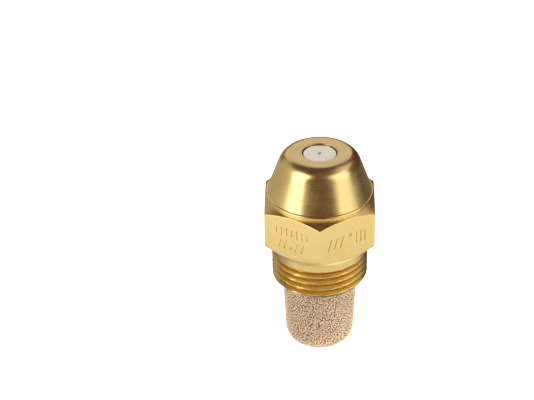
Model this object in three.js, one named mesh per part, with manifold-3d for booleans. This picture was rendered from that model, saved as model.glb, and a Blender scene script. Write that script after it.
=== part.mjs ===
// Oil burner nozzle. A turned brass body, with a hexagon to grip and a fine thread to screw it into a nozzle
// line, holds an orifice disc and a slotted swirl cone. A lock screw presses them together from behind, and a
// sintered bronze filter on a threaded ferrule closes the back.
//
// Millimetres, +Z up. The origin is on the axis in the plane of the seat ring, the flat end of the thread that
// seals against the nozzle line, and the nozzle sprays along +Z. Each piece is drawn with its front at z = 0,
// reaching down, and is then placed at its depth below the spray face.
import * as THREE from "three";
import { mergeVertices } from "three/addons/utils/BufferGeometryUtils.js";
import Module from "manifold-3d";

const wasm = await Module();
wasm.setup();

// Whole nozzle
const LENGTH = 32.6;
const CLEARANCE = 0.25; // between a screw's crests and the plain bore that stands for its nut thread
const SEGMENTS = 48; // around every turned surface
const INNER_SEGMENTS = 24; // around the hidden screws and passages
const ARC_STEPS = 3; // along each half of a rounded stretch of an outline

// Body, outside. Depths are measured from the spray face.
const FACE_RADIUS = 3.9; // flat part of the spray face
const SHOULDER_ROUND = 2.2; // from the spray face to the nose cone
const NOSE_ANGLE = THREE.MathUtils.degToRad(19.5); // of the nose cone's side to the axis
const NOSE_DEPTH = 6.15;
const COLLAR_BEAD = 0.25; // radius of the rounded rim at the nose's foot
const COLLAR_RADIUS = 7.92;
const ACROSS_FLATS = 16;
const HEX_TOP_DEPTH = 7.67; // where a corner edge starts
const HEX_BOTTOM_DEPTH = 13.1;
const HEX_TOP_CHAMFER = THREE.MathUtils.degToRad(27);
const HEX_BOTTOM_CHAMFER = THREE.MathUtils.degToRad(37);

// Body thread: 9/16-24 UNEF
const THREAD_PITCH = 25.4 / 24;
const THREAD_CREST = 7.1;
const THREAD_DEPTH = 0.61 * THREAD_PITCH;
const THREAD_TOP_DEPTH = 16.08;
const BODY_DEPTH = 20.8; // the thread's end, where a narrow flat ring seals against the nozzle line
const THREAD_END_CHAMFER = 0.4;
const THREAD_PHASE = 0.17; // how far the whole helix is raised, in pitches

// Body, inside
const SPRAY_HOLE = 2.55;
const LIP = 1.3; // thickness of the wall that the orifice disc rests against
const DISC_BORE = 4.3;
const SCREW_BORE = 4.6;
const SCREW_BORE_DEPTH = 8.2;
const MOUTH_RADIUS = 5.85; // of the shallow recess that the filter's rim sits in
const MOUTH_HEIGHT = 0.5;

// Orifice disc
const DISC_SETBACK = 0.18; // how far the disc's boss lies below the spray face
const DISC_BOSS = 2.4;
const DISC_BOSS_HEIGHT = 1.4;
const DISC_RADIUS = 4.05;
const DISC_HEIGHT = 3.2;
const ORIFICE = 0.12;
const ORIFICE_DIMPLE = 0.35;
const DIMPLE_DEPTH = 0.06;
const ORIFICE_LENGTH = 0.55; // from the spray side to the swirl chamber's point
const SWIRL_MOUTH = 2.6; // radius of the 45 degree swirl chamber at the disc's back

// Swirl cone
const CONE_DEPTH = 1.55; // of its tip
const CONE_TIP = 0.45;
const CONE_FOOT = 2.35;
const CONE_COLLAR = 3.7;
const CONE_COLLAR_HEIGHT = 2.4;
const CONE_STEM = 2.1;
const CONE_STEM_HEIGHT = 2.6;
const SLOT_COUNT = 4;
const SLOT_WIDTH = 0.4;
const SLOT_OFFSET = 0.42; // from the axis, which sets the oil spinning

// Threads inside the body, shared by the lock screw and the filter's ferrule
const INNER_PITCH = 0.75;
const INNER_CREST = SCREW_BORE - CLEARANCE;
const INNER_THREAD_DEPTH = 0.4;
const INNER_END_CHAMFER = 0.4;

// Lock screw
const LOCK_DEPTH = 9.1;
const LOCK_HEIGHT = 4.6;
const LOCK_PASSAGE = 1.1;
const LOCK_SOCKET = 4.0; // across the flats of its hexagon socket
const LOCK_SOCKET_DEPTH = 2.6;
const LOCK_GROOVE = 1.2; // width and depth of the oil groove across its front

// Filter ferrule
const FERRULE_DEPTH = 15.9;
const FERRULE_PASSAGE = 2.6;
const FERRULE_SPIGOT = 4.15; // the plain end that the thimble is pressed on
const FERRULE_SPIGOT_HEIGHT = 2.4;

// Filter thimble, moulded with a little draft
const THIMBLE_GAP = 0.2; // between the recess's floor and the thimble's rim
const THIMBLE_RIM = 5.6;
const THIMBLE_FOOT = 5.2;
const THIMBLE_ROUND = 2.45;
const THIMBLE_WALL = 1.2;
const THIMBLE_FLOOR = 1.5;

const BRASS = { color: 0xdcb768, roughness: 0.3, metalness: 1 };
const STEEL = { color: 0xc4bfb6, roughness: 0.45, metalness: 1 };
const BRONZE = { color: 0xb98f6e, roughness: 0.9, metalness: 0.6 };

const hexCorner = ACROSS_FLATS / Math.sqrt(3);
const beadRadius = COLLAR_RADIUS - COLLAR_BEAD; // of the circle that the bead's section is centred on
const beadFoot = -NOSE_DEPTH - 2 * COLLAR_BEAD;
const rimDepth = BODY_DEPTH - MOUTH_HEIGHT + THIMBLE_GAP;

// An outline of [radius, z] corners, bottom to top on its outer side, as a path that can take arcs as well.
function outline(corners) {
  const path = new THREE.Path();
  path.moveTo(...corners[0]);
  corners.slice(1).forEach((corner) => path.lineTo(...corner));
  return path;
}

function turned(path, segments = SEGMENTS) {
  return new THREE.LatheGeometry(path.getPoints(ARC_STEPS), segments).rotateX(Math.PI / 2);
}

function solid(geometry) {
  const bare = geometry.index ? geometry.clone() : mergeVertices(geometry);
  bare.deleteAttribute("normal");
  bare.deleteAttribute("uv");
  const merged = mergeVertices(bare);
  return new wasm.Manifold(
    new wasm.Mesh({
      numProp: 3,
      vertProperties: merged.attributes.position.array,
      triVerts: new Uint32Array(merged.index.array),
    }),
  );
}

function piece(name, body, look) {
  const mesh = body.getMesh();
  const geometry = new THREE.BufferGeometry();
  geometry.setAttribute("position", new THREE.BufferAttribute(mesh.vertProperties, 3));
  geometry.setIndex(new THREE.BufferAttribute(mesh.triVerts, 1));
  geometry.computeVertexNormals();
  const made = new THREE.Mesh(geometry, new THREE.MeshStandardMaterial(look));
  made.name = name;
  return made;
}

// A rod with one helical thread, from at least top down to at least bottom, to be trimmed by an envelope. The
// grid's rows climb with the helix, so crests and roots are clean edges; a flat fan from the axis closes each end.
function threadedRod({ crest, depth, pitch, top, bottom, columns }) {
  const profile = [
    [0, crest],
    [1 / 8, crest],
    [7 / 16, crest - depth],
    [11 / 16, crest - depth],
  ];
  const perTurn = profile.length;
  const turns = Math.ceil((top - bottom) / pitch) + 2;
  const rows = turns * perTurn;
  const start = bottom - 1.5 * pitch;
  const positions = [];
  for (let column = 0; column < columns; column++) {
    const share = column / columns;
    const angle = 2 * Math.PI * share;
    for (let row = 0; row < rows; row++) {
      const [along, radius] = profile[row % perTurn];
      const z = start + pitch * (Math.floor(row / perTurn) + along + share);
      positions.push(radius * Math.cos(angle), radius * Math.sin(angle), z);
    }
  }
  const lowAxis = positions.push(0, 0, start) / 3 - 1;
  const highAxis = positions.push(0, 0, start + pitch * (turns + 1)) / 3 - 1;

  // One column past the last is the first column again, a whole turn higher.
  const vertex = (column, row) => (column < columns ? column * rows + row : row + perTurn);
  const indices = [];
  for (let column = 0; column < columns; column++) {
    const usable = column < columns - 1 ? rows : rows - perTurn;
    for (let row = 0; row + 1 < usable; row++) {
      const a = vertex(column, row);
      const b = vertex(column + 1, row);
      const c = vertex(column + 1, row + 1);
      const d = vertex(column, row + 1);
      indices.push(a, b, c, a, c, d);
    }
  }
  const lowRim = [];
  const highRim = [];
  for (let column = 0; column < columns; column++) {
    lowRim.push(vertex(column, 0));
    highRim.push(vertex(column, rows - 1));
  }
  for (let row = perTurn; row > 0; row--) lowRim.push(vertex(0, row));
  for (let step = 1; step <= perTurn; step++) highRim.push(vertex(columns - 1, rows - 1 - step));
  lowRim.forEach((v, i) => indices.push(lowAxis, lowRim[(i + 1) % lowRim.length], v));
  highRim.forEach((v, i) => indices.push(highAxis, v, highRim[(i + 1) % highRim.length]));

  const geometry = new THREE.BufferGeometry();
  geometry.setAttribute("position", new THREE.Float32BufferAttribute(positions, 3));
  geometry.setIndex(indices);
  return geometry;
}

// The nose cone with its rounded shoulder, and the beaded collar at its foot.
function noseGeometry() {
  const arcEndRadius = FACE_RADIUS + SHOULDER_ROUND * Math.cos(NOSE_ANGLE);
  const arcEndDepth = SHOULDER_ROUND * (1 - Math.sin(NOSE_ANGLE));
  const footRadius = arcEndRadius + (NOSE_DEPTH - arcEndDepth) * Math.tan(NOSE_ANGLE);
  const path = outline([
    [0, -HEX_BOTTOM_DEPTH],
    [beadRadius, -HEX_BOTTOM_DEPTH],
    [beadRadius, beadFoot],
  ]);
  path.absarc(beadRadius, beadFoot + COLLAR_BEAD, COLLAR_BEAD, -Math.PI / 2, Math.PI / 2);
  path.lineTo(footRadius, -NOSE_DEPTH);
  path.absarc(FACE_RADIUS, -SHOULDER_ROUND, SHOULDER_ROUND, NOSE_ANGLE, Math.PI / 2);
  path.lineTo(0, 0);
  return turned(path);
}

// The hexagon, with one corner towards -Y, trimmed by the cones that chamfer its corners. The upper cone starts
// under the bead.
function hexagonSolid() {
  const middle = -(HEX_TOP_DEPTH + HEX_BOTTOM_DEPTH) / 2;
  const prism = new THREE.CylinderGeometry(hexCorner, hexCorner, 12, 6)
    .rotateX(Math.PI / 2)
    .translate(0, 0, middle);
  const past = 1; // the envelope is wider than the corners by this much
  const topSlope = Math.tan(HEX_TOP_CHAMFER);
  const bottomSlope = Math.tan(HEX_BOTTOM_CHAMFER);
  const envelope = outline([
    [0, -HEX_BOTTOM_DEPTH - (hexCorner - THREAD_CREST) * bottomSlope],
    [THREAD_CREST, -HEX_BOTTOM_DEPTH - (hexCorner - THREAD_CREST) * bottomSlope],
    [hexCorner + past, -HEX_BOTTOM_DEPTH + past * bottomSlope],
    [hexCorner + past, -HEX_TOP_DEPTH - past * topSlope],
    [beadRadius, -HEX_TOP_DEPTH + (hexCorner - beadRadius) * topSlope],
    [0, -HEX_TOP_DEPTH + (hexCorner - beadRadius) * topSlope],
  ]);
  return solid(prism).intersect(solid(turned(envelope)));
}

function threadSolid() {
  const overlap = 0.3; // up into the neck, so the two join
  const rod = threadedRod({
    crest: THREAD_CREST,
    depth: THREAD_DEPTH,
    pitch: THREAD_PITCH,
    top: -THREAD_TOP_DEPTH + overlap,
    bottom: -BODY_DEPTH + THREAD_PHASE * THREAD_PITCH,
    columns: SEGMENTS,
  });
  const envelope = outline([
    [0, -BODY_DEPTH],
    [THREAD_CREST - THREAD_END_CHAMFER, -BODY_DEPTH],
    [THREAD_CREST, -BODY_DEPTH + THREAD_END_CHAMFER],
    [THREAD_CREST, -THREAD_TOP_DEPTH + overlap],
    [0, -THREAD_TOP_DEPTH + overlap],
  ]);
  return solid(rod).intersect(solid(turned(envelope)));
}

function neckGeometry() {
  return turned(
    outline([
      [0, -THREAD_TOP_DEPTH],
      [THREAD_CREST, -THREAD_TOP_DEPTH],
      [THREAD_CREST, -HEX_BOTTOM_DEPTH],
      [0, -HEX_BOTTOM_DEPTH],
    ]),
  );
}

function boreGeometry() {
  const past = 1; // beyond both ends, for a clean cut
  return turned(
    outline([
      [0, -BODY_DEPTH - past],
      [MOUTH_RADIUS, -BODY_DEPTH - past],
      [MOUTH_RADIUS, -BODY_DEPTH + MOUTH_HEIGHT],
      [SCREW_BORE, -BODY_DEPTH + MOUTH_HEIGHT],
      [SCREW_BORE, -SCREW_BORE_DEPTH],
      [DISC_BORE, -SCREW_BORE_DEPTH + (SCREW_BORE - DISC_BORE)],
      [DISC_BORE, -LIP],
      [SPRAY_HOLE, -LIP],
      [SPRAY_HOLE, past],
      [0, past],
    ]),
  );
}

function nozzleBody() {
  const outside = solid(noseGeometry())
    .add(hexagonSolid())
    .add(solid(neckGeometry()))
    .add(threadSolid());
  return piece("nozzle_body", outside.subtract(solid(boreGeometry())), BRASS);
}

// A stepped stainless disc: its boss fills the spray hole, and a conical chamber behind leads to the orifice.
function orificeDisc() {
  const chamber = -ORIFICE_LENGTH;
  const chamberEnd = chamber - (SWIRL_MOUTH - ORIFICE);
  const ring = outline([
    [ORIFICE, chamber],
    [SWIRL_MOUTH, chamberEnd],
    [SWIRL_MOUTH, -DISC_HEIGHT],
    [DISC_RADIUS, -DISC_HEIGHT],
    [DISC_RADIUS, -DISC_BOSS_HEIGHT],
    [DISC_BOSS, -DISC_BOSS_HEIGHT],
    [DISC_BOSS, 0],
    [ORIFICE_DIMPLE, 0],
    [ORIFICE, -DIMPLE_DEPTH],
    [ORIFICE, chamber],
  ]);
  return piece("orifice_disc", solid(turned(ring)), STEEL);
}

// A stainless cone with slots that miss the axis on one side, on a collar and a stem.
function swirlCone() {
  const foot = -(CONE_FOOT - CONE_TIP);
  const collarTop = foot - 0.25;
  const collarBottom = collarTop - CONE_COLLAR_HEIGHT;
  const blank = outline([
    [0, collarBottom - CONE_STEM_HEIGHT],
    [CONE_STEM, collarBottom - CONE_STEM_HEIGHT],
    [CONE_STEM, collarBottom],
    [CONE_COLLAR, collarBottom],
    [CONE_COLLAR, collarTop],
    [CONE_FOOT, collarTop],
    [CONE_FOOT, foot],
    [CONE_TIP, 0],
    [0, 0],
  ]);
  let body = solid(turned(blank));
  const slotRadius = (CONE_FOOT + CONE_TIP) / 2;
  for (let i = 0; i < SLOT_COUNT; i++) {
    const slot = new THREE.BoxGeometry(4 * CONE_TIP + CONE_FOOT, SLOT_WIDTH, SLOT_WIDTH)
      .rotateY(Math.PI / 4)
      .translate(slotRadius, SLOT_OFFSET, foot / 2)
      .rotateZ((2 * Math.PI * i) / SLOT_COUNT);
    body = body.subtract(solid(slot));
  }
  return piece("swirl_cone", body, STEEL);
}

// A screw thread of the inner size, from z = 0 down, with both ends chamfered.
function innerScrew(height) {
  const rod = threadedRod({
    crest: INNER_CREST,
    depth: INNER_THREAD_DEPTH,
    pitch: INNER_PITCH,
    top: 0,
    bottom: -height,
    columns: INNER_SEGMENTS,
  });
  const envelope = outline([
    [0, -height],
    [INNER_CREST - INNER_END_CHAMFER, -height],
    [INNER_CREST, -height + INNER_END_CHAMFER],
    [INNER_CREST, -INNER_END_CHAMFER],
    [INNER_CREST - INNER_END_CHAMFER, 0],
    [0, 0],
  ]);
  return solid(rod).intersect(solid(turned(envelope, INNER_SEGMENTS)));
}

// A drilled passage on the axis, open at both ends of a piece of the given height.
function passageSolid(radius, height) {
  const drill = new THREE.CylinderGeometry(radius, radius, height + 2, INNER_SEGMENTS)
    .rotateX(Math.PI / 2)
    .translate(0, 0, -height / 2);
  return solid(drill);
}

function lockScrew() {
  const socketRadius = LOCK_SOCKET / Math.sqrt(3);
  const socket = new THREE.CylinderGeometry(socketRadius, socketRadius, 2 * LOCK_SOCKET_DEPTH, 6)
    .rotateX(Math.PI / 2)
    .translate(0, 0, -LOCK_HEIGHT);
  const groove = new THREE.BoxGeometry(3 * SCREW_BORE, LOCK_GROOVE, 2 * LOCK_GROOVE);
  const body = innerScrew(LOCK_HEIGHT)
    .subtract(passageSolid(LOCK_PASSAGE, LOCK_HEIGHT))
    .subtract(solid(socket))
    .subtract(solid(groove));
  return piece("lock_screw", body, BRASS);
}

function filterFerrule() {
  const screwHeight = rimDepth - FERRULE_DEPTH;
  const spigotEnd = -screwHeight - FERRULE_SPIGOT_HEIGHT;
  const edge = 0.3;
  const spigot = outline([
    [0, spigotEnd],
    [FERRULE_SPIGOT - edge, spigotEnd],
    [FERRULE_SPIGOT, spigotEnd + edge],
    [FERRULE_SPIGOT, -screwHeight + 2 * edge],
    [0, -screwHeight + 2 * edge],
  ]);
  const body = innerScrew(screwHeight)
    .add(solid(turned(spigot)))
    .subtract(passageSolid(FERRULE_PASSAGE, -spigotEnd));
  return piece("filter_ferrule", body, BRASS);
}

// The cup of sintered bronze, open at the top, with a rounded end outside and inside.
function filterThimble() {
  const height = LENGTH - rimDepth;
  const footZ = -height + THIMBLE_ROUND;
  const innerRound = THIMBLE_ROUND - THIMBLE_WALL;
  const floorZ = -height + THIMBLE_FLOOR;
  const path = new THREE.Path();
  path.moveTo(0, -height);
  path.lineTo(THIMBLE_FOOT - THIMBLE_ROUND, -height);
  path.absarc(THIMBLE_FOOT - THIMBLE_ROUND, footZ, THIMBLE_ROUND, -Math.PI / 2, 0);
  path.lineTo(THIMBLE_RIM, 0);
  path.lineTo(THIMBLE_RIM - THIMBLE_WALL, 0);
  path.lineTo(THIMBLE_FOOT - THIMBLE_WALL, floorZ + innerRound);
  path.absarc(THIMBLE_FOOT - THIMBLE_ROUND, floorZ + innerRound, innerRound, 0, -Math.PI / 2, true);
  path.lineTo(0, floorZ);
  return piece("filter_thimble", solid(turned(path)), BRONZE);
}

// Puts a piece at a depth below the spray face, or a piece of the filter below the filter's own front.
function placed(made, depth) {
  made.position.z = -depth;
  return made;
}

const filter = new THREE.Group();
filter.add(filterFerrule());
filter.add(placed(filterThimble(), rimDepth - FERRULE_DEPTH));

const nozzle = new THREE.Group();
nozzle.position.z = BODY_DEPTH;
nozzle.add(nozzleBody());
nozzle.add(placed(orificeDisc(), DISC_SETBACK));
nozzle.add(placed(swirlCone(), CONE_DEPTH));
nozzle.add(placed(lockScrew(), LOCK_DEPTH));
nozzle.add(placed(filter, FERRULE_DEPTH));

const scene = new THREE.Group();
scene.add(nozzle);

export default scene;
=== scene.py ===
import math

import bpy
import numpy as np
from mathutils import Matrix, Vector


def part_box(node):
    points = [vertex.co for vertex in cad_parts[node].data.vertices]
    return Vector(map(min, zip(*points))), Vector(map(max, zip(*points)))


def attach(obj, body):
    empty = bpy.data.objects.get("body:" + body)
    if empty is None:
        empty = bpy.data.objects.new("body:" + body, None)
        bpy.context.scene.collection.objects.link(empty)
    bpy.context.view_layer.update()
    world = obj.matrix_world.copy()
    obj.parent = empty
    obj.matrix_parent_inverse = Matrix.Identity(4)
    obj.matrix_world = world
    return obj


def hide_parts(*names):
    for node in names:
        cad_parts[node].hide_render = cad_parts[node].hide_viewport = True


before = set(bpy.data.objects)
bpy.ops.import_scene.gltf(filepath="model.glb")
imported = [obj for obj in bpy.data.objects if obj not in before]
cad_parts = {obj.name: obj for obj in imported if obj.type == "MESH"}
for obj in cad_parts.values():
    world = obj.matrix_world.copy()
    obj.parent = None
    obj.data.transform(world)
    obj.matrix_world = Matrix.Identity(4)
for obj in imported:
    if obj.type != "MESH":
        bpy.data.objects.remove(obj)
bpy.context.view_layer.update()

MM = 0.001
FACE_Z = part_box("nozzle_body")[1].z / MM
FLOOR_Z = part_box("filter_thimble")[0].z / MM

# Nozzle body, outside
FACE_RADIUS = 3.9
SHOULDER_ROUND = 2.2
NOSE_ANGLE = math.radians(19.5)
NOSE_DEPTH = 6.15
COLLAR_BEAD = 0.25
COLLAR_RADIUS = 7.92
ACROSS_FLATS = 16
HEX_TOP_DEPTH = 7.67
HEX_BOTTOM_DEPTH = 13.1
HEX_TOP_CHAMFER = math.radians(27)
HEX_BOTTOM_CHAMFER = math.radians(37)
HEX_CORNER = ACROSS_FLATS / math.sqrt(3)
HEX_EDGE_ROUND = 0.1

THREAD_PITCH = 25.4 / 24
THREAD_CREST = 7.1
THREAD_DEPTH = 0.61 * THREAD_PITCH
THREAD_TOP_DEPTH = 16.08
THREAD_RUN_OUT = 0.3
BODY_DEPTH = 20.8
THREAD_END_CHAMFER = 0.4
THREAD_PHASE = 0.17
THREAD_START = BODY_DEPTH / THREAD_PITCH + 1.5 - THREAD_PHASE

# Nozzle body, inside
SPRAY_HOLE = 2.55
LIP = 1.3
DISC_BORE = 4.3
SCREW_BORE = 4.6
SCREW_BORE_DEPTH = 8.2
MOUTH_RADIUS = 5.85
MOUTH_HEIGHT = 0.5

# Orifice disc
DISC_SETBACK = 0.18
DISC_BOSS = 2.4
DISC_BOSS_HEIGHT = 1.4
DISC_RADIUS = 4.05
DISC_HEIGHT = 3.2
ORIFICE = 0.12
ORIFICE_DIMPLE = 0.35
DIMPLE_DEPTH = 0.06
ORIFICE_LENGTH = 0.55
SWIRL_MOUTH = 2.6

# Swirl cone
CONE_DEPTH = 1.55
CONE_TIP = 0.45
CONE_FOOT = 2.35
CONE_STEP = 0.25
CONE_COLLAR = 3.7
CONE_COLLAR_HEIGHT = 2.4
CONE_STEM = 2.1
CONE_STEM_HEIGHT = 2.6
SLOT_COUNT = 4
SLOT_WIDTH = 0.4
SLOT_LENGTH = 4 * CONE_TIP + CONE_FOOT
SLOT_OFFSET = 0.42

# Threads inside the body
INNER_PITCH = 0.75
INNER_CREST = 4.35
INNER_THREAD_DEPTH = 0.4
INNER_END_CHAMFER = 0.4
INNER_RUN_OUT = 0.5
INNER_RING_SPACING = 0.09
BORE_THREAD_DEPTH = 0.3
BORE_THREAD_TOP_DEPTH = SCREW_BORE_DEPTH + 0.5
BORE_THREAD_BOTTOM_DEPTH = BODY_DEPTH - MOUTH_HEIGHT - 0.2
BORE_THREAD_RUN_OUT = 0.3

# Lock screw
LOCK_DEPTH = 9.1
LOCK_HEIGHT = 4.6
LOCK_PASSAGE = 1.1
LOCK_SOCKET = 4.0
LOCK_SOCKET_DEPTH = 2.6
LOCK_GROOVE = 1.2

# Filter: the ferrule, the thimble, its dark core just under the surface, painted as the shade between the
# grains, and the grains over the core.
# Grain sizes are shares of the grain radius. The jitter is a length, and round the axis it turns a grain
# by no more than it would at the axis radius.
FERRULE_DEPTH = 15.9
FERRULE_PASSAGE = 2.6
FERRULE_SPIGOT = 4.15
FERRULE_SPIGOT_HEIGHT = 2.4
THIMBLE_GAP = 0.2
THIMBLE_RIM = 5.6
THIMBLE_FOOT = 5.2
THIMBLE_ROUND = 2.45
THIMBLE_WALL = 1.2
THIMBLE_FLOOR = 1.5
RIM_DEPTH = BODY_DEPTH - MOUTH_HEIGHT + THIMBLE_GAP
END_DEPTH = FACE_Z - FLOOR_Z
CORE_INSET = 0.13
CORE_POLE_RING = 0.3
GRAIN_RADIUS = 0.152
GRAIN_SIZES = (0.84, 1.1)
GRAIN_SPACING = 0.32
GRAIN_PACKING = 0.866
GRAIN_JITTER = 0.05
GRAIN_AXIS_RADIUS = 0.3
GRAIN_SUNK = 0.045
GRAIN_PATH_POINTS = 1200

# Meshing
CUT_OVERSHOOT = 1
SOFT_STEPS = 3
SMOOTH_ANGLE = math.radians(32)


# ----------------------------------------------------------------------------------------------------
# Meshes of rings round the axis


class Corner:
    """A corner of a turned outline: its radius and depth, one number or one per column, how far its edge
    is softened, the steps in the stretch after it, and the finish of that stretch."""

    def __init__(self, radius, depth, soft=0.03, steps=1, finish=0):
        self.place = (radius, depth)
        self.soft = soft
        self.steps = steps
        self.finish = finish


def arc(radius, depth, size, start, stop, count, finish=0):
    """Corners along an arc from one angle to another. Angle 0 points outwards and a right angle points up."""
    turns = [start + (stop - start) * i / count for i in range(count + 1)]
    return [
        Corner(radius + size * math.cos(t), depth - size * math.sin(t), soft=0, finish=finish) for t in turns
    ]


def toward(start, end):
    """The direction from one place to another, for each column."""
    step = end - start
    return step / np.maximum(np.hypot(step[0], step[1]), 1e-9)


def rings_through(corners, angles, loop=True):
    """The rings of an outline, as radii, depths and finishes. A loop runs back to its first corner. The ends
    of an open outline aren't softened."""
    places = [np.array(np.broadcast_arrays(*c.place, angles)[:2], float) for c in corners]
    rings = []
    finishes = []
    last = len(corners) - 1
    for i, corner in enumerate(corners):
        following = (i + 1) % len(corners)
        here = places[i]
        before = places[i - 1]
        after = places[following]
        if corner.soft and (loop or i not in (0, last)):
            back = toward(here, before) * corner.soft
            ahead = toward(here, after) * corner.soft
            for t in np.linspace(0, 1, SOFT_STEPS + 1):
                rings.append(here + (1 - t) ** 2 * back + t**2 * ahead)
                finishes.append(corner.finish if t > 0.5 else corners[i - 1].finish)
        else:
            rings.append(here)
            finishes.append(corner.finish)
        if not loop and i == last:
            break
        start = rings[-1]
        stop = after - toward(here, after) * corners[following].soft
        for step in range(1, corner.steps):
            rings.append(start + (stop - start) * step / corner.steps)
            finishes.append(corner.finish)
    rings = np.array(rings)
    return rings[:, 0], rings[:, 1], np.array(finishes)


def even_angles(columns):
    return np.arange(columns) * 2 * math.pi / columns


def thread_profile(turns):
    """How deep a thread is cut, from 0 at its crest to 1 at its root, against its phase in turns. The flanks
    are straight, a little rounded where they meet the crest and the root."""
    phase = turns % 1.0
    crest, root_start, root_end = 1 / 8, 7 / 16, 11 / 16
    falling = (phase - crest) / (root_start - crest)
    rising = (1 - phase) / (1 - root_end)
    straight = np.clip(np.minimum(falling, rising), 0, 1)
    rounded = straight * straight * (3 - 2 * straight)
    return rounded * 0.35 + straight * 0.65


def thread_cut(depths, angles, pitch, top, bottom, run_out, lead_in=0.0):
    """The share of the full thread depth at each point, nothing outside top and bottom. It fades over the
    run-out at both, and lead_in turns the thread, in turns."""
    turns = -depths / pitch - angles / (2 * math.pi) + lead_in
    fade_in = np.clip((depths - top) / run_out, 0, 1)
    fade_out = np.clip((bottom - depths) / run_out, 0, 1)
    return thread_profile(turns) * fade_in * fade_out


def grid_mesh(name, radii, depths, angles, finishes, materials, poles=None):
    """An object whose surface runs through the rings. Without poles the last ring joins the first; poles are
    the depths of the points on the axis that close a solid piece's first and last ring. finishes says which
    of the materials each ring has."""
    rows, columns = radii.shape
    x = radii * np.cos(angles)
    y = radii * np.sin(angles)
    points = np.stack([x, y, FACE_Z - depths], axis=-1).reshape(-1, 3)
    index = np.arange(rows * columns).reshape(rows, columns)
    here = index if poles is None else index[:-1]
    below = np.roll(index, -1, axis=0)[: len(here)]
    quads = np.stack([here, below, np.roll(below, -1, axis=1), np.roll(here, -1, axis=1)], axis=-1)
    faces = quads.reshape(-1, 4).tolist()
    slots = np.repeat(finishes[: len(here)], columns).tolist()
    if poles is not None:
        first_pole = len(points)
        points = np.vstack([points, [0, 0, FACE_Z - poles[0]], [0, 0, FACE_Z - poles[1]]])
        for start, end in zip(index[0], np.roll(index[0], -1)):
            faces.append([first_pole, int(start), int(end)])
            slots.append(int(finishes[0]))
        for start, end in zip(index[-1], np.roll(index[-1], -1)):
            faces.append([int(start), first_pole + 1, int(end)])
            slots.append(int(finishes[-1]))
    return mesh_object(name, points, faces, slots, materials)


def mesh_object(name, points, faces, slots, materials):
    """An object of those points, in millimetres. slots says which of the materials each face has."""
    mesh = bpy.data.meshes.new(name)
    mesh.from_pydata((np.asarray(points) * MM).tolist(), [], faces)
    for material in materials:
        mesh.materials.append(material)
    mesh.polygons.foreach_set("material_index", slots)
    mesh.validate()
    made = bpy.data.objects.new(name, mesh)
    bpy.context.scene.collection.objects.link(made)
    return made


def subtract(piece, shell, finish=0):
    """Cuts a closed shell, its points and faces, out of the piece. The cut takes that finish."""
    points, faces = shell
    cutter = mesh_object("cutter", points, faces, [finish] * len(faces), piece.data.materials[:])
    modifier = piece.modifiers.new("cut", "BOOLEAN")
    modifier.operation = "DIFFERENCE"
    modifier.solver = "MANIFOLD"
    modifier.object = cutter
    evaluated = piece.evaluated_get(bpy.context.evaluated_depsgraph_get())
    cut = bpy.data.meshes.new_from_object(evaluated)
    piece.modifiers.clear()
    piece.data = cut
    bpy.data.objects.remove(cutter)


def prism(outline_points, low, high, place):
    """Points and faces of a closed prism. place turns (u, v, w) into a point; w runs from low to high, and
    the low outline may differ from the high one: outline_points(w) gives it."""
    bottom = [place(u, v, low) for u, v in outline_points(low)]
    top = [place(u, v, high) for u, v in outline_points(high)]
    count = len(bottom)
    faces = [list(range(count))[::-1], list(range(count, 2 * count))]
    faces += [[i, (i + 1) % count, count + (i + 1) % count, count + i] for i in range(count)]
    return bottom + top, faces


def joined(shells):
    """Several (points, faces) shells as one."""
    points = []
    faces = []
    for shell_points, shell_faces in shells:
        offset = len(points)
        points += shell_points
        faces += [[offset + i for i in face] for face in shell_faces]
    return points, faces


# ----------------------------------------------------------------------------------------------------
# Nozzle body

TURNED, DRAWN, THREADED, BORED, NECK = range(5)


def hexagon_angles():
    """Columns for a hexagon with a corner towards -Y, crowded near its corners so that these can be
    rounded."""
    half_steps = 22
    crowding = 2.2
    half_side = 30
    half = [(i / half_steps) ** crowding * half_side for i in range(half_steps + 1)]
    sector = [-d for d in reversed(half[1:])] + half[:-1]
    degrees = [-90 + 60 * k + d for k in range(6) for d in sector]
    return np.radians(degrees)


def hexagon_radius(angles):
    """Distance from the axis to the hexagon's side at each angle, with rounded corners."""
    from_corner = np.abs((np.degrees(angles) + 90 + 30) % 60 - 30)
    beta = np.radians(from_corner)
    half_flats = ACROSS_FLATS / 2
    centre = (half_flats - HEX_EDGE_ROUND) / math.cos(math.pi / 6)
    tangent = math.atan2(HEX_EDGE_ROUND / 2, centre + HEX_EDGE_ROUND * math.cos(math.pi / 6))
    flat = half_flats / np.cos(math.pi / 6 - beta)
    inside = np.maximum(HEX_EDGE_ROUND**2 - (centre * np.sin(beta)) ** 2, 0)
    rounded = centre * np.cos(beta) + np.sqrt(inside)
    return np.where(beta < tangent, rounded, flat)


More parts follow.
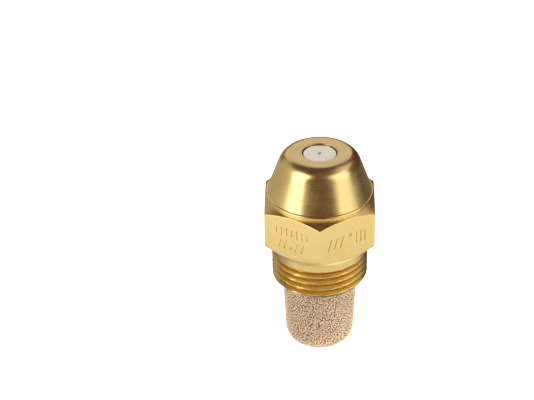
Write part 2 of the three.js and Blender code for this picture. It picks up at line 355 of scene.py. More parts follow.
def body_outline(hexagon):
    """Corners of the body's section, down its outside from the spray hole and up its bore. hexagon is the
    distance from the axis to the hexagon's side, one number per column."""
    arc_end = SHOULDER_ROUND * (1 - math.sin(NOSE_ANGLE))
    arc_radius = FACE_RADIUS + SHOULDER_ROUND * math.cos(NOSE_ANGLE)
    foot = arc_radius + (NOSE_DEPTH - arc_end) * math.tan(NOSE_ANGLE)
    bead_radius = COLLAR_RADIUS - COLLAR_BEAD
    bead_depth = NOSE_DEPTH + COLLAR_BEAD
    over_corner = HEX_CORNER - hexagon
    chamfer_top = HEX_TOP_DEPTH - (HEX_CORNER - bead_radius) * math.tan(HEX_TOP_CHAMFER)
    flat_top = HEX_TOP_DEPTH - over_corner * math.tan(HEX_TOP_CHAMFER)
    flat_bottom = HEX_BOTTOM_DEPTH + over_corner * math.tan(HEX_BOTTOM_CHAMFER)
    neck_top = HEX_BOTTOM_DEPTH + (HEX_CORNER - THREAD_CREST) * math.tan(HEX_BOTTOM_CHAMFER)
    thread_end = BODY_DEPTH - THREAD_END_CHAMFER
    end_radius = THREAD_CREST - THREAD_END_CHAMFER
    mouth_depth = BODY_DEPTH - MOUTH_HEIGHT
    bore_step = SCREW_BORE_DEPTH - (SCREW_BORE - DISC_BORE)
    return [
        Corner(SPRAY_HOLE, 0, 0.07, 6, TURNED),
        *arc(FACE_RADIUS, SHOULDER_ROUND, SHOULDER_ROUND, math.pi / 2, NOSE_ANGLE, 16, TURNED)[:-1],
        Corner(arc_radius, arc_end, 0, 12, TURNED),
        Corner(foot, NOSE_DEPTH, 0, 1, TURNED),
        *arc(bead_radius, bead_depth, COLLAR_BEAD, math.radians(75), -math.pi / 2, 12, TURNED),
        Corner(bead_radius, chamfer_top, 0.04, 5, TURNED),
        Corner(hexagon, flat_top, 0.05, 12, DRAWN),
        Corner(hexagon, flat_bottom, 0.06, 6, NECK),
        Corner(THREAD_CREST, neck_top, 0.35, 5, NECK),
        Corner(THREAD_CREST, THREAD_TOP_DEPTH, 0, 76, THREADED),
        Corner(THREAD_CREST, thread_end, 0, 10, THREADED),
        Corner(end_radius, BODY_DEPTH, 0, 4, TURNED),
        Corner(MOUTH_RADIUS, BODY_DEPTH, 0.05, 3, BORED),
        Corner(MOUTH_RADIUS, mouth_depth, 0.05, 3, BORED),
        Corner(SCREW_BORE, mouth_depth, 0.08, 84, BORED),
        Corner(SCREW_BORE, SCREW_BORE_DEPTH, 0.02, 1, BORED),
        Corner(DISC_BORE, bore_step, 0.02, 8, BORED),
        Corner(DISC_BORE, LIP, 0.03, 3, BORED),
        Corner(SPRAY_HOLE, LIP, 0.03, 4, BORED),
    ]


def make_nozzle_body(materials):
    """The body, with both threads cut into its rings and the marks stamped. The outer thread's lower limit
    lies past the body's end, so that the thread doesn't fade there."""
    angles = hexagon_angles()
    radii, depths, finishes = rings_through(body_outline(hexagon_radius(angles)), angles)
    outside = (finishes == THREADED)[:, None]
    past_end = 2 * BODY_DEPTH
    cut = thread_cut(
        depths, angles, THREAD_PITCH, THREAD_TOP_DEPTH, past_end, THREAD_RUN_OUT, THREAD_START
    )
    threaded = np.minimum(radii, THREAD_CREST - THREAD_DEPTH * cut)
    in_bore = (finishes == BORED)[:, None] & (np.abs(radii - SCREW_BORE) < 0.01)
    bore_cut = thread_cut(
        depths, angles, INNER_PITCH, BORE_THREAD_TOP_DEPTH, BORE_THREAD_BOTTOM_DEPTH, BORE_THREAD_RUN_OUT
    )
    grooved = SCREW_BORE + BORE_THREAD_DEPTH * bore_cut
    radii = np.where(outside, threaded, np.where(in_bore, grooved, radii))
    body = grid_mesh("nozzle_body_turned", radii, depths, angles, finishes, materials)
    subtract(body, joined(left_marks() + right_marks()), DRAWN)
    return body


# Stamped marks on the two front flats: plain bars and dimples, which stand for no letters. A stamp's floor
# is smaller than its mouth by the slope on each side.
STAMP_WIDTH = 0.28
STAMP_DEPTH = 0.12
STAMP_SLOPE = 0.09


def on_flat(azimuth):
    """Turns (u, v, w) on the flat that faces that azimuth into a point: u runs right, v down from the spray
    face, and w out of the flat. Azimuth 0 faces -Y and grows to the right."""
    turn = math.radians(azimuth)
    normal = Vector((math.sin(turn), -math.cos(turn), 0))
    right = Vector((math.cos(turn), math.sin(turn), 0))

    def place(u, v, w):
        point = right * u + normal * (ACROSS_FLATS / 2 + w)
        return (point.x, point.y, FACE_Z - v)

    return place


def bar(place, start, end):
    """A stamped stroke with round ends and sloped walls."""
    along = Vector((end[0] - start[0], end[1] - start[1]))
    heading = math.atan2(along.y, along.x)
    round_steps = 5

    def outline_at(w):
        size = STAMP_WIDTH / 2 - (STAMP_SLOPE if w < 0 else 0)
        ring = []
        for centre, first in ((end, heading + math.pi / 2), (start, heading - math.pi / 2)):
            for i in range(round_steps + 1):
                t = first - math.pi * i / round_steps
                ring.append((centre[0] + size * math.cos(t), centre[1] + size * math.sin(t)))
        return ring

    return prism(outline_at, -STAMP_DEPTH, STAMP_DEPTH, place)


def dimple(place, centre, radius):
    """A shallow round punch mark with sloped walls."""
    steps = 16

    def outline_at(w):
        size = radius - (STAMP_SLOPE if w < 0 else 0)
        turns = [2 * math.pi * i / steps for i in range(steps)]
        return [(centre[0] + size * math.cos(t), centre[1] + size * math.sin(t)) for t in turns]

    return prism(outline_at, -STAMP_DEPTH, STAMP_DEPTH, place)


def left_marks():
    """A row of upright bars, every third one shorter, over slanted bars and a dimple."""
    place = on_flat(-30)
    middle = 9.5
    upper = []
    for i in range(7):
        u = -2.55 + 0.85 * i
        half = 0.62 if i % 3 else 0.42
        upper.append(bar(place, (u, middle - half), (u, middle + half)))
    lower = [bar(place, (u + 0.2, 11.0), (u - 0.2, 12.3)) for u in (-2.0, -1.1, 0.8, 1.8)]
    return upper + lower + [dimple(place, (-0.2, 12.1), 0.24)]


def right_marks():
    """Slanted bars, a dimple and upright bars in one row."""
    place = on_flat(30)
    slanted = [bar(place, (u + 0.3, 9.7), (u - 0.3, 11.4)) for u in (-2.9, -1.9, -0.9)]
    upright = [bar(place, (u, 9.6), (u, 11.3)) for u in (1.5, 2.2, 2.9)]
    return slanted + upright + [dimple(place, (0.5, 9.8), 0.3)]


# ----------------------------------------------------------------------------------------------------
# Pieces inside the body


def at_depth(depth, corners):
    """The same corners, moved down by depth."""
    for corner in corners:
        corner.place = (corner.place[0], corner.place[1] + depth)
    return corners


def make_orifice_disc(materials):
    angles = even_angles(96)
    chamber_end = ORIFICE_LENGTH + SWIRL_MOUTH - ORIFICE
    outline = at_depth(DISC_SETBACK, [
        Corner(ORIFICE, DIMPLE_DEPTH, 0.015, 3),
        Corner(ORIFICE_DIMPLE, 0, 0.02, 8),
        Corner(DISC_BOSS, 0, 0.1, 3),
        Corner(DISC_BOSS, DISC_BOSS_HEIGHT, 0.03, 3),
        Corner(DISC_RADIUS, DISC_BOSS_HEIGHT, 0.06, 4),
        Corner(DISC_RADIUS, DISC_HEIGHT, 0.06, 4),
        Corner(SWIRL_MOUTH, DISC_HEIGHT, 0.02, 1),
        Corner(SWIRL_MOUTH, chamber_end, 0.03, 8),
        Corner(ORIFICE, ORIFICE_LENGTH, 0.02, 3),
    ])
    radii, depths, finishes = rings_through(outline, angles)
    return grid_mesh("orifice_disc_ground", radii, depths, angles, finishes, materials)


def box_shell(size, place):
    """Points and faces of a box of that size. place turns its corner offsets into points."""
    half = [s / 2 for s in size]
    ring = [(-half[0], -half[1]), (half[0], -half[1]), (half[0], half[1]), (-half[0], half[1])]
    return prism(lambda w: ring, -half[2], half[2], place)


def swirl_slot(turn):
    """Places a slot's box along the cone's 45 degree side, to one side of the axis."""
    slope = math.pi / 4
    middle = (CONE_FOOT + CONE_TIP) / 2
    middle_depth = CONE_DEPTH + (CONE_FOOT - CONE_TIP) / 2

    def place(u, v, w):
        out = middle + u * math.cos(slope) + w * math.sin(slope)
        down = u * math.sin(slope) - w * math.cos(slope)
        side = SLOT_OFFSET + v
        x = out * math.cos(turn) - side * math.sin(turn)
        y = out * math.sin(turn) + side * math.cos(turn)
        return (x, y, FACE_Z - middle_depth - down)

    return place


def make_swirl_cone(materials):
    angles = even_angles(80)
    foot = CONE_FOOT - CONE_TIP
    collar_top = foot + CONE_STEP
    collar_bottom = collar_top + CONE_COLLAR_HEIGHT
    end = collar_bottom + CONE_STEM_HEIGHT
    outline = at_depth(CONE_DEPTH, [
        Corner(CONE_TIP / 2, 0, 0, 1),
        Corner(CONE_TIP, 0, 0.03, 8),
        Corner(CONE_FOOT, foot, 0.03, 1),
        Corner(CONE_FOOT, collar_top, 0.03, 3),
        Corner(CONE_COLLAR, collar_top, 0.08, 4),
        Corner(CONE_COLLAR, collar_bottom, 0.08, 3),
        Corner(CONE_STEM, collar_bottom, 0.05, 4),
        Corner(CONE_STEM, end, 0.2, 4),
        Corner(CONE_STEM / 4, end, 0, 1),
    ])
    radii, depths, finishes = rings_through(outline, angles, loop=False)
    poles = (CONE_DEPTH, CONE_DEPTH + end)
    cone = grid_mesh("swirl_cone_slotted", radii, depths, angles, finishes, materials, poles)
    size = (SLOT_LENGTH, SLOT_WIDTH, SLOT_WIDTH)
    for i in range(SLOT_COUNT):
        subtract(cone, box_shell(size, swirl_slot(2 * math.pi * i / SLOT_COUNT)))
    return cone


def inner_thread(radii, depths, angles, finishes, top, bottom):
    """Cuts the inner thread into the rings whose finish is THREADED."""
    top_clear = top - CUT_OVERSHOOT
    bottom_clear = bottom + CUT_OVERSHOOT
    cut = thread_cut(depths, angles, INNER_PITCH, top_clear, bottom_clear, INNER_RUN_OUT)
    threaded = np.minimum(radii, INNER_CREST - INNER_THREAD_DEPTH * cut)
    return np.where((finishes == THREADED)[:, None], threaded, radii)


def screw_corners(height, passage):
    """The front, thread and rear chamfer of a screw of the inner size."""
    edge = INNER_CREST - INNER_END_CHAMFER
    rings = round((height - 2 * INNER_END_CHAMFER) / INNER_RING_SPACING)
    return [
        Corner(passage, 0, 0.05, 3, TURNED),
        Corner(edge, 0, 0, 4, THREADED),
        Corner(INNER_CREST, INNER_END_CHAMFER, 0, rings, THREADED),
        Corner(INNER_CREST, height - INNER_END_CHAMFER, 0, 4, THREADED),
    ]


def make_lock_screw(materials):
    angles = even_angles(120)
    edge = INNER_CREST - INNER_END_CHAMFER
    outline = at_depth(LOCK_DEPTH, [
        *screw_corners(LOCK_HEIGHT, LOCK_PASSAGE),
        Corner(edge, LOCK_HEIGHT, 0, 4, TURNED),
        Corner(LOCK_PASSAGE, LOCK_HEIGHT, 0.05, 4, TURNED),
    ])
    radii, depths, finishes = rings_through(outline, angles)
    radii = inner_thread(radii, depths, angles, finishes, LOCK_DEPTH, LOCK_DEPTH + LOCK_HEIGHT)
    screw = grid_mesh("lock_screw_threaded", radii, depths, angles, finishes, materials)
    corner = LOCK_SOCKET / math.sqrt(3)
    ring = [(corner * math.cos(math.pi * i / 3), corner * math.sin(math.pi * i / 3)) for i in range(6)]
    rear = FACE_Z - LOCK_DEPTH - LOCK_HEIGHT
    socket = prism(lambda w: ring, -CUT_OVERSHOOT, LOCK_SOCKET_DEPTH, lambda u, v, w: (u, v, rear + w))
    front = FACE_Z - LOCK_DEPTH
    right_across = 3 * SCREW_BORE
    groove = box_shell((right_across, LOCK_GROOVE, 2 * LOCK_GROOVE), lambda u, v, w: (u, v, front + w))
    subtract(screw, socket)
    subtract(screw, groove)
    return screw


def make_filter_ferrule(materials):
    angles = even_angles(120)
    screw_height = RIM_DEPTH - FERRULE_DEPTH
    end = screw_height + FERRULE_SPIGOT_HEIGHT
    spigot_top = screw_height - INNER_END_CHAMFER + (INNER_CREST - FERRULE_SPIGOT)
    outline = at_depth(FERRULE_DEPTH, [
        *screw_corners(screw_height, FERRULE_PASSAGE),
        Corner(FERRULE_SPIGOT, spigot_top, 0, 6, TURNED),
        Corner(FERRULE_SPIGOT, end, 0.25, 3, TURNED),
        Corner(FERRULE_PASSAGE, end, 0.1, 12, BORED),
    ])
    radii, depths, finishes = rings_through(outline, angles)
    radii = inner_thread(radii, depths, angles, finishes, FERRULE_DEPTH, FERRULE_DEPTH + screw_height)
    finishes = np.where(finishes == BORED, TURNED, finishes)
    return grid_mesh("filter_ferrule_threaded", radii, depths, angles, finishes, materials)


# ----------------------------------------------------------------------------------------------------
# Filter thimble: a dark core, the cup, painted as the shade between the grains, with sintered grains all over
# its outside and rim


def thimble_side(inset):
    """Corners down the outside of the thimble, from its rim to its end, set in by inset."""
    side = THIMBLE_FOOT - THIMBLE_ROUND
    foot_depth = END_DEPTH - THIMBLE_ROUND
    return [
        Corner(THIMBLE_RIM - inset, RIM_DEPTH + inset, 0.1, 16),
        *arc(side, foot_depth, THIMBLE_ROUND - inset, 0, -math.pi / 2, 14),
    ]


def cup_outline(inset):
    """Corners of the core's section, out over the cup's floor, up its inside and down its outside."""
    inner_round = THIMBLE_ROUND - THIMBLE_WALL
    floor_depth = END_DEPTH - THIMBLE_FLOOR
    side = THIMBLE_FOOT - THIMBLE_ROUND
    inside = arc(side, floor_depth - inner_round, inner_round, -math.pi / 2, 0, 6)
    return [
        Corner(CORE_POLE_RING, floor_depth, 0, 3),
        *inside,
        Corner(THIMBLE_RIM - THIMBLE_WALL, RIM_DEPTH + inset, 0.1, 3),
        *thimble_side(inset),
        Corner(CORE_POLE_RING, END_DEPTH - inset, 0, 1),
    ]


def grain_path():
    """Points along the grains' surface, over the rim, down and under: their distance along it, their radius
    and depth, and the direction in which it runs."""
    inner_edge = (THIMBLE_RIM - THIMBLE_WALL, RIM_DEPTH)
    end = (0.0, END_DEPTH)
    stops = np.array([inner_edge, *[c.place for c in thimble_side(0)], end])
    lengths = np.hypot(*np.diff(stops, axis=0).T)
    along = np.concatenate([[0], np.cumsum(lengths)])
    fine = np.linspace(0, along[-1], GRAIN_PATH_POINTS)
    radius = np.interp(fine, along, stops[:, 0])
    depth = np.interp(fine, along, stops[:, 1])
    step = np.gradient(np.stack([radius, depth]), axis=1)
    step /= np.hypot(step[0], step[1])
    return fine, radius, depth, step


def grain_shape():
    """A grain of radius 1 as points on rings round its outward axis, and its faces."""
    sides = 8
    latitudes = (math.radians(42), math.radians(-8))
    bottom = -0.9
    points = [(0, 0, 1)]
    for latitude in latitudes:
        reach = math.cos(latitude)
        for i in range(sides):
            t = 2 * math.pi * (i + 0.5 * (latitude > 0)) / sides
            points.append((math.cos(t) * reach, math.sin(t) * reach, math.sin(latitude)))
    points.append((0, 0, bottom))
    faces = []
    for i in range(sides):
        j = (i + 1) % sides
        upper, upper_next = 1 + i, 1 + j
        lower, lower_next = 1 + sides + i, 1 + sides + j
        faces += [(0, upper, upper_next), (upper, lower, lower_next), (upper, lower_next, upper_next)]
        faces.append((lower, 1 + 2 * sides, lower_next))
    return np.array(points), np.array(faces)


def make_grains():
    """Points and faces of every grain. The grains follow a golden-angle spiral, shaken so that it doesn't
    show."""
    draw = np.random.default_rng(7)
    fine, radius, depth, step = grain_path()
    area = np.concatenate([[0], np.cumsum(np.pi * (radius[1:] + radius[:-1]) * np.diff(fine))])
    count = int(area[-1] / (GRAIN_SPACING**2 * GRAIN_PACKING))
    share = (np.arange(count) + 0.5) / count * area[-1]
    along = np.interp(share, area, fine) + draw.normal(0, GRAIN_JITTER, count)
    along = np.clip(along, 0, fine[-1])
    grain_radii = np.interp(along, fine, radius)
    grain_depths = np.interp(along, fine, depth)
    slope_radius = np.interp(along, fine, step[0])
    slope_depth = np.interp(along, fine, step[1])
    golden = math.pi * (3 - math.sqrt(5))
    shake = draw.normal(0, GRAIN_JITTER, count) / np.maximum(grain_radii, GRAIN_AXIS_RADIUS)
    theta = np.arange(count) * golden + shake
    size = GRAIN_RADIUS * draw.uniform(*GRAIN_SIZES, count)
    sunk = size + draw.uniform(0.0, GRAIN_SUNK, count)

    outward = np.stack([slope_depth * np.cos(theta), slope_depth * np.sin(theta), slope_radius], axis=1)
    outward /= np.linalg.norm(outward, axis=1)[:, None]
    around = np.stack([-np.sin(theta), np.cos(theta), np.zeros(count)], axis=1)
    third = np.cross(outward, around)
    x = grain_radii * np.cos(theta)
    y = grain_radii * np.sin(theta)
    centre = np.stack([x, y, FACE_Z - grain_depths], axis=1) - outward * sunk[:, None]
    shape, faces = grain_shape()
    spin = draw.uniform(0, 2 * math.pi, count)
    x_axis = around * np.cos(spin)[:, None] + third * np.sin(spin)[:, None]
    y_axis = np.cross(outward, x_axis)
    local = shape[None, :, :] * size[:, None, None]
    points = centre[:, None, :] + local @ np.stack([x_axis, y_axis, outward], axis=1)
    all_faces = faces[None] + (np.arange(count) * len(shape))[:, None, None]
    return points.reshape(-1, 3), all_faces.reshape(-1, 3)


def make_filter_thimble(materials):
    angles = even_angles(96)
    radii, depths, finishes = rings_through(cup_outline(CORE_INSET), angles, loop=False)
    poles = (END_DEPTH - THIMBLE_FLOOR, END_DEPTH - CORE_INSET)
    cup = grid_mesh("thimble_cup", radii, depths, angles, finishes, [], poles)
    cup_points = [tuple(v.co / MM) for v in cup.data.vertices]
    cup_faces = [list(p.vertices) for p in cup.data.polygons]
    bpy.data.objects.remove(cup)
    grain_points, grain_faces = make_grains()
    points, faces = joined([(cup_points, cup_faces), (grain_points.tolist(), grain_faces.tolist())])
    slots = [0] * len(cup_faces) + [1] * len(grain_faces)
    return mesh_object("filter_thimble_grains", points, faces, slots, materials)


# ----------------------------------------------------------------------------------------------------
# Materials


class Nodes:
    """A small helper round a material's nodes. Coordinates are the piece's own, in millimetres."""

    def __init__(self, name):
        self.material = bpy.data.materials.new(name)
        self.material.use_nodes = True
        self.tree = self.material.node_tree
        self.shader = self.tree.nodes["Principled BSDF"]
        coordinates = self.tree.nodes.new("ShaderNodeTexCoord")
        self.place = self.vector_math("SCALE", coordinates.outputs["Object"], scale=1 / MM)
        self.xyz = self.tree.nodes.new("ShaderNodeSeparateXYZ")
        self.link(self.place, self.xyz.inputs[0])

    def link(self, value, socket):
        """Gives a socket its value: a number, a colour or vector, or another node's output."""
        if isinstance(value, (int, float)):
            socket.default_value = value
        elif isinstance(value, tuple):
            socket.default_value = (*value, 1) if len(socket.default_value) == 4 else value
        else:
            self.tree.links.new(value, socket)

    def vector_math(self, operation, first, second=None, scale=None):
        node = self.tree.nodes.new("ShaderNodeVectorMath")
        node.operation = operation
        self.link(first, node.inputs[0])
        if second is not None:
            self.link(second, node.inputs[1])
        if scale is not None:
            node.inputs["Scale"].default_value = scale
        return node.outputs["Value" if operation == "LENGTH" else "Vector"]

    def math(self, operation, first, second=0.0):
        node = self.tree.nodes.new("ShaderNodeMath")
        node.operation = operation
        self.link(first, node.inputs[0])
        self.link(second, node.inputs[1])
        return node.outputs[0]

    def radius(self):
        """Distance from the axis."""
        flat = self.vector_math("MULTIPLY", self.place, (1.0, 1.0, 0.0))
        return self.vector_math("LENGTH", flat)

    def combine(self, x, y, z):
        node = self.tree.nodes.new("ShaderNodeCombineXYZ")
        for value, socket in zip((x, y, z), node.inputs):
            self.link(value, socket)
        return node.outputs[0]

    def noise(self, vector, scale, detail=2.0, roughness=0.5):
        node = self.tree.nodes.new("ShaderNodeTexNoise")
        self.link(vector, node.inputs["Vector"])
        node.inputs["Scale"].default_value = scale
        node.inputs["Detail"].default_value = detail
        node.inputs["Roughness"].default_value = roughness
        return node.outputs["Fac"]

    def ramp(self, value, low, high, low_out, high_out):
        """Maps a value from low..high to low_out..high_out, clamped."""
        node = self.tree.nodes.new("ShaderNodeMapRange")
        self.link(value, node.inputs["Value"])
        limits = {"From Min": low, "From Max": high, "To Min": low_out, "To Max": high_out}
        for name, number in limits.items():
            node.inputs[name].default_value = number
        return node.outputs["Result"]

    def mix(self, share, first, second):
        node = self.tree.nodes.new("ShaderNodeMix")
        node.data_type = "RGBA"
        self.link(share, node.inputs["Factor"])
        self.link(first, node.inputs["A"])
        self.link(second, node.inputs["B"])
        return node.outputs["Result"]

    def bump(self, height, distance):
        node = self.tree.nodes.new("ShaderNodeBump")
        self.link(height, node.inputs["Height"])
        node.inputs["Distance"].default_value = distance * MM
        return node.outputs["Normal"]

    def set(self, **inputs):
        """Sets the shader's inputs and returns the finished material."""
        for name, value in inputs.items():
            self.link(value, self.shader.inputs[name.replace("_", " ")])
        return self.material


BRASS = (0.87, 0.655, 0.225)
BRASS_PALE = (0.9, 0.7, 0.29)
BRASS_DEEP = (0.8, 0.56, 0.16)
BRASS_DULL = (0.7, 0.555, 0.27)
# Painted shade on the cut threads: a deeper orange in the grooves and a dark brown at the roots.
GROOVE_SHADE_GOLD = (0.81, 0.56, 0.17)
ROOT_SHADE_BROWN = (0.52, 0.3, 0.075)
STEEL_WARM = (0.88, 0.83, 0.74)
STEEL_PALE = (0.93, 0.87, 0.8)
# Painted shade between the filter's grains, on the dark core under them.
PORE_SHADE_LIGHT = (0.28, 0.15, 0.07)
PORE_SHADE_DARK = (0.16, 0.08, 0.035)
GRAIN_LIGHT = (1.0, 0.87, 0.6)
GRAIN_DARK = (0.97, 0.72, 0.43)


def turned_brass(name, roughness, mark_height, deep=False):
    """Brass with fine turning marks round the axis and a few soft stains, duller on the spray face. A deep
    one is darker all over."""
    n = Nodes(name)
    radius = n.radius()
    rings = n.combine(n.math("MULTIPLY", radius, 9.0), n.math("MULTIPLY", n.xyz.outputs[2], 9.0), 0.0)
    coarse = n.noise(rings, 1.0, 3.0, 0.6)
    along = n.combine(
        n.math("MULTIPLY", n.xyz.outputs[0], 0.5),
        n.math("MULTIPLY", n.xyz.outputs[1], 0.5),
        n.math("MULTIPLY", n.xyz.outputs[2], 22.0),
    )
    fine = n.noise(along, 1.0, 2.0, 0.6)
    marks = n.math("ADD", coarse, n.math("MULTIPLY", fine, 0.6))
    cloud = n.noise(n.place, 0.35, 3.0, 0.6)
    base, other = (BRASS_DEEP, BRASS) if deep else (BRASS, BRASS_PALE)
    tint = n.mix(n.ramp(cloud, 0.35, 0.7, 0.0, 1.0), base, other)
    streaks = n.mix(n.ramp(coarse, 0.3, 0.75, 0.0, 0.35), tint, BRASS_DEEP)
    on_face = n.ramp(n.xyz.outputs[2], FACE_Z - 0.5, FACE_Z - 0.05, 0.0, 1.0)
    streaks = n.mix(on_face, streaks, BRASS_DULL)
    worn = n.ramp(cloud, 0.3, 0.75, -0.03, 0.05)
    rough = n.math("ADD", worn, n.ramp(fine, 0.2, 0.8, roughness - 0.03, roughness + 0.04))
    return n.set(Base_Color=streaks, Metallic=1.0, Roughness=rough, Normal=n.bump(marks, mark_height))


def threaded_brass(name, root, crest):
    """Cut thread with painted shade: deeper orange in its grooves, dark brown at its roots, so it looks
    bright along its crests. root and crest are their radii.
    """
    n = Nodes(name)
    cut = n.ramp(n.radius(), root, crest, 0.0, 1.0)
    cloud = n.noise(n.place, 0.5, 3.0, 0.6)
    around = n.combine(n.xyz.outputs[0], n.xyz.outputs[1], n.math("MULTIPLY", n.xyz.outputs[2], 14.0))
    marks = n.noise(around, 1.0, 3.0, 0.65)
    shade = n.math("ADD", cut, n.ramp(cloud, 0.3, 0.7, -0.12, 0.12))
    # Painted shade by radius: the grooves get the deeper orange and the roots the dark brown.
    groove_shade_tint = n.mix(n.ramp(cut, 0.6, 1.0, 0.0, 1.0), GROOVE_SHADE_GOLD, BRASS)
    tint = n.mix(n.ramp(shade, 0.05, 0.45, 0.0, 1.0), ROOT_SHADE_BROWN, groove_shade_tint)
    rough = n.ramp(marks, 0.25, 0.75, 0.24, 0.34)
    return n.set(Base_Color=tint, Metallic=1.0, Roughness=rough, Normal=n.bump(marks, 0.004))


def drawn_brass():
    """The hexagon's flats: drawn bar, with faint lines along the axis and a few handling scratches."""
    n = Nodes("drawn_brass")
    lines = n.noise(n.vector_math("MULTIPLY", n.place, (7.0, 7.0, 0.35)), 1.0, 3.0, 0.65)
    cloud = n.noise(n.place, 0.45, 3.0, 0.6)
    pits = n.noise(n.place, 9.0, 2.0, 0.5)
    tint = n.mix(n.ramp(cloud, 0.35, 0.7, 0.0, 1.0), BRASS, BRASS_PALE)
    rough = n.math("ADD", n.ramp(cloud, 0.3, 0.7, 0.26, 0.34), n.ramp(pits, 0.4, 0.75, 0.0, 0.05))
    height = n.math("ADD", lines, n.math("MULTIPLY", pits, 0.25))
    return n.set(Base_Color=tint, Metallic=1.0, Roughness=rough, Normal=n.bump(height, 0.006))


def ground_steel():
    """Satin stainless steel with a fine, even grind."""
    n = Nodes("ground_steel")
    grind = n.noise(n.place, 14.0, 3.0, 0.6)
    cloud = n.noise(n.place, 1.2, 3.0, 0.6)
    tint = n.mix(n.ramp(cloud, 0.35, 0.65, 0.0, 1.0), STEEL_WARM, STEEL_PALE)
    rough = n.ramp(grind, 0.3, 0.7, 0.26, 0.38)
    return n.set(Base_Color=tint, Metallic=1.0, Roughness=rough, Normal=n.bump(grind, 0.008))


def sintered_bronze(name, light, dark, roughness, metallic):
    """Bronze grains fused together, each a little different from the next. With dark colours it is the
    painted shade on the core between the grains.
    """
    n = Nodes(name)
    grain = n.noise(n.place, 3.4, 1.0, 0.5)
    patch = n.noise(n.place, 0.4, 2.0, 0.5)
    shade = n.math("ADD", grain, n.math("MULTIPLY", patch, 0.5))
    tint = n.mix(n.ramp(shade, 0.55, 0.95, 0.0, 1.0), dark, light)
    skin = n.noise(n.place, 22.0, 2.0, 0.6)
    rough = n.ramp(skin, 0.3, 0.7, roughness - 0.08, roughness + 0.1)
    return n.set(Base_Color=tint, Metallic=metallic, Roughness=rough, Normal=n.bump(skin, 0.006))


def put_on_body(piece, body, node):
    """Smooths a finished piece and puts it on its body in the stead of its CAD node."""
    piece.data.shade_smooth()
    piece.data.set_sharp_from_angle(angle=SMOOTH_ANGLE)
    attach(piece, body)
    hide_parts(node)


def make_pieces():
    """Every piece with its materials. A brass piece's stand in the order TURNED, DRAWN, THREADED, BORED,
    NECK."""
    nose = turned_brass("turned_brass", 0.28, 0.0025)
    thread = threaded_brass("threaded_brass", THREAD_CREST - THREAD_DEPTH, THREAD_CREST)
    screw = threaded_brass("inner_threaded_brass", INNER_CREST - INNER_THREAD_DEPTH, INNER_CREST)
    bore = turned_brass("bored_brass", 0.38, 0.008, deep=True)
    neck = turned_brass("neck_brass", 0.3, 0.006)
    steel = ground_steel()
    flats = drawn_brass()
    brass = [nose, flats, thread, bore, neck]
    screws = [nose, flats, screw, bore, neck]
    put_on_body(make_nozzle_body(brass), "body", "nozzle_body")
    put_on_body(make_orifice_disc([steel]), "body", "orifice_disc")
    put_on_body(make_swirl_cone([steel]), "swirl_cone", "swirl_cone")
    put_on_body(make_lock_screw(screws), "lock_screw", "lock_screw")
    put_on_body(make_filter_ferrule(screws), "filter", "filter_ferrule")
    # Painted shade: the core under the grains is painted dark brown, as the shade between them.
    pore_shade = sintered_bronze("bronze_pore_shade", PORE_SHADE_LIGHT, PORE_SHADE_DARK, 0.7, 0.3)
    grains = sintered_bronze("bronze_grains", GRAIN_LIGHT, GRAIN_DARK, 0.35, 0.3)
    put_on_body(make_filter_thimble([pore_shade, grains]), "filter", "filter_thimble")


# ----------------------------------------------------------------------------------------------------
# Floor, light and camera

FLOOR_RADIUS = 2000
FLOOR_GLOW = 0.54
FLOOR_PAINT = (0.8, 0.8, 0.8)

# What reflections see of the floor. A share is one of its glow, and a pair of places is where a change
# starts and ends. POOL_SHARES belong to the two places of POOL_ACROSS. FRONT_TURN slants the line between
# front and back.
LIT_EDGE = (100, 180)
FAR_SHARE = 0.12
NOZZLE_SHADE = (22.0, 42.0)
NOZZLE_SHADE_SHARE = 0.58
FRONT_TO_BACK = (-8.0, 7.0)
FRONT_TURN = 0.2
BACK_SHARE = 0.15
POOL_EDGE = (12.0, 26.0)
POOL_ACROSS = (-4.0, 10.0)
POOL_SHARES = (0.7, 2.4)
LEFT_EDGE = (-32.0, -20.0)
LEFT_SHARE = 0.43
LEFT_END = (400.0, 700.0)
LEFT_END_SHARE = 0.1

AIM_DEPTH = 10.82
AIM_DISTANCE = 262.5
SIGHT_ELEVATION = math.radians(33.0)
AIM_BELOW_CENTRE = math.radians(0.497)
SHIFT_LEFT = 0.0987
LENS = 120.2
LAMP_DISTANCE = 0.5
COOL_WHITE = (1.0, 1.0, 1.15)
ROOM_BROWN = (0.095, 0.036, 0.012, 1)
WHITE = (1, 1, 1, 1)


def make_camera():
    """The camera looks down on the nozzle at the sight elevation. It is tilted a little less, so that the
    point aimed at comes out below the picture's centre, and its shift puts the nozzle at its place."""
    camera = bpy.data.objects.new("camera", bpy.data.cameras.new("camera"))
    bpy.context.scene.collection.objects.link(camera)
    camera.data.lens = LENS
    pitch = SIGHT_ELEVATION - AIM_BELOW_CENTRE
    forward = Vector((0, math.cos(pitch), -math.sin(pitch)))
    down = Vector((0, -math.sin(pitch), -math.cos(pitch)))
    sight = forward + down * math.tan(AIM_BELOW_CENTRE)
    target = Vector((0, 0, FACE_Z - AIM_DEPTH))
    camera.location = (target - sight * AIM_DISTANCE) * MM
    camera.rotation_euler = (math.pi / 2 - pitch, 0, 0)
    camera.data.shift_x = -SHIFT_LEFT
    camera.data.clip_start = 0.01
    bpy.context.scene.camera = camera


def make_floor():
    """A plain pale floor, bright of itself, as a lit table is. Its rings are closer near the nozzle."""
    steps = 8
    sides = 48
    points = [(0, 0, FLOOR_Z)]
    faces = []
    for ring in range(1, steps + 1):
        radius = FLOOR_RADIUS * (ring / steps) ** 2
        for i in range(sides):
            t = 2 * math.pi * i / sides
            points.append((radius * math.cos(t), radius * math.sin(t), FLOOR_Z))
    for i in range(sides):
        j = (i + 1) % sides
        faces.append([0, 1 + i, 1 + j])
        for ring in range(1, steps):
            inner, outer = 1 + (ring - 1) * sides, 1 + ring * sides
            faces.append([inner + i, outer + i, outer + j, inner + j])
    mesh_object("floor", points, faces, [0] * len(faces), [pale_floor()])


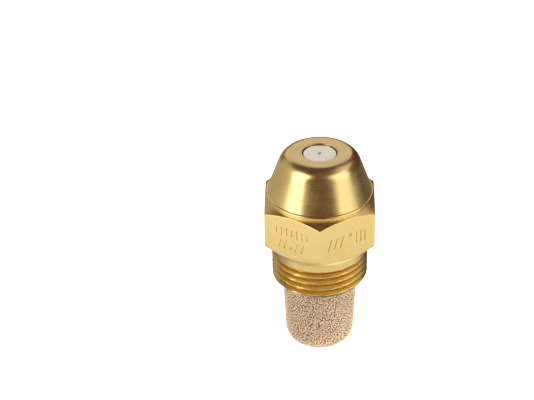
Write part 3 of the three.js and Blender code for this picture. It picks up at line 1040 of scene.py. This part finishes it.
def pale_floor():
    """Evenly pale to the camera. Reflections see it as a table lit in front, dimmer near the nozzle, behind
    and far off, with a pool under the nozzle that is brightest on its right, and a dimmer stretch to the
    left."""
    n = Nodes("pale_floor")
    x, y = n.xyz.outputs[0], n.xyz.outputs[1]
    radius = n.radius()
    near = n.ramp(radius, *LIT_EDGE, 1.0, FAR_SHARE)
    shaded = n.math("MULTIPLY", near, n.ramp(radius, *NOZZLE_SHADE, NOZZLE_SHADE_SHARE, 1.0))
    behind = n.math("SUBTRACT", y, n.math("MULTIPLY", x, FRONT_TURN))
    front = n.math("MULTIPLY", shaded, n.ramp(behind, *FRONT_TO_BACK, 1.0, BACK_SHARE))
    pool = n.ramp(radius, *POOL_EDGE, 1.0, 0.0)
    under = n.math("MULTIPLY", pool, n.ramp(x, *POOL_ACROSS, *POOL_SHARES))
    left_side = n.ramp(x, *LEFT_EDGE, LEFT_SHARE, 0.0)
    left = n.math("MULTIPLY", left_side, n.ramp(radius, *LEFT_END, 1.0, LEFT_END_SHARE))
    seen = n.tree.nodes.new("ShaderNodeLightPath").outputs["Is Camera Ray"]
    lit = n.math("MAXIMUM", under, n.math("MAXIMUM", front, left))
    strength = n.math("ADD", n.math("MULTIPLY", lit, FLOOR_GLOW), seen)
    tone = n.mix(n.math("MAXIMUM", lit, seen), (0.0, 0.0, 0.0), FLOOR_PAINT)
    return n.set(Base_Color=tone, Roughness=0.8, Emission_Color=(1.0, 1.0, 1.0), Emission_Strength=strength)


def softbox(name, azimuth, elevation, width, height, radiance, colour=(1, 1, 1)):
    """A rectangular lamp that faces the nozzle. Azimuth 0 is the camera's side and grows to the right. Sizes
    are in metres, as the lamps' distance is, and radiance is how bright the lamp's face is."""
    turn, rise = math.radians(azimuth), math.radians(elevation)
    away = Vector((math.sin(turn) * math.cos(rise), -math.cos(turn) * math.cos(rise), math.sin(rise)))
    lamp = bpy.data.lights.new(name, "AREA")
    lamp.shape = "RECTANGLE"
    lamp.size = width
    lamp.size_y = height
    lamp.energy = radiance * math.pi * width * height
    lamp.color = colour
    made = bpy.data.objects.new(name, lamp)
    bpy.context.scene.collection.objects.link(made)
    made.location = away * LAMP_DISTANCE
    made.rotation_mode = "QUATERNION"
    made.rotation_quaternion = away.to_track_quat("Z", "Y")


def make_light():
    """Five lamps, and a room that is white to the camera and dark brown in reflections."""
    softbox("left_front", -57, 25, 0.32, 0.52, 2.9, COOL_WHITE)
    softbox("right_front", 62, 25, 0.43, 0.52, 1.55, COOL_WHITE)
    softbox("right_above", 112, 52, 0.26, 0.26, 0.8)
    softbox("left_side", -106, 20, 0.6, 0.5, 0.42)
    softbox("behind", -174, 30, 0.47, 0.32, 0.8)
    world = bpy.data.worlds.new("room")
    bpy.context.scene.world = world
    world.use_nodes = True
    tree = world.node_tree
    background = tree.nodes["Background"]
    path = tree.nodes.new("ShaderNodeLightPath")
    mix = tree.nodes.new("ShaderNodeMix")
    mix.data_type = "RGBA"
    tree.links.new(path.outputs["Is Camera Ray"], mix.inputs["Factor"])
    mix.inputs["A"].default_value = ROOM_BROWN
    mix.inputs["B"].default_value = WHITE
    tree.links.new(mix.outputs["Result"], background.inputs["Color"])


bpy.context.scene.view_settings.view_transform = "Standard"
make_pieces()
make_floor()
make_light()
make_camera()
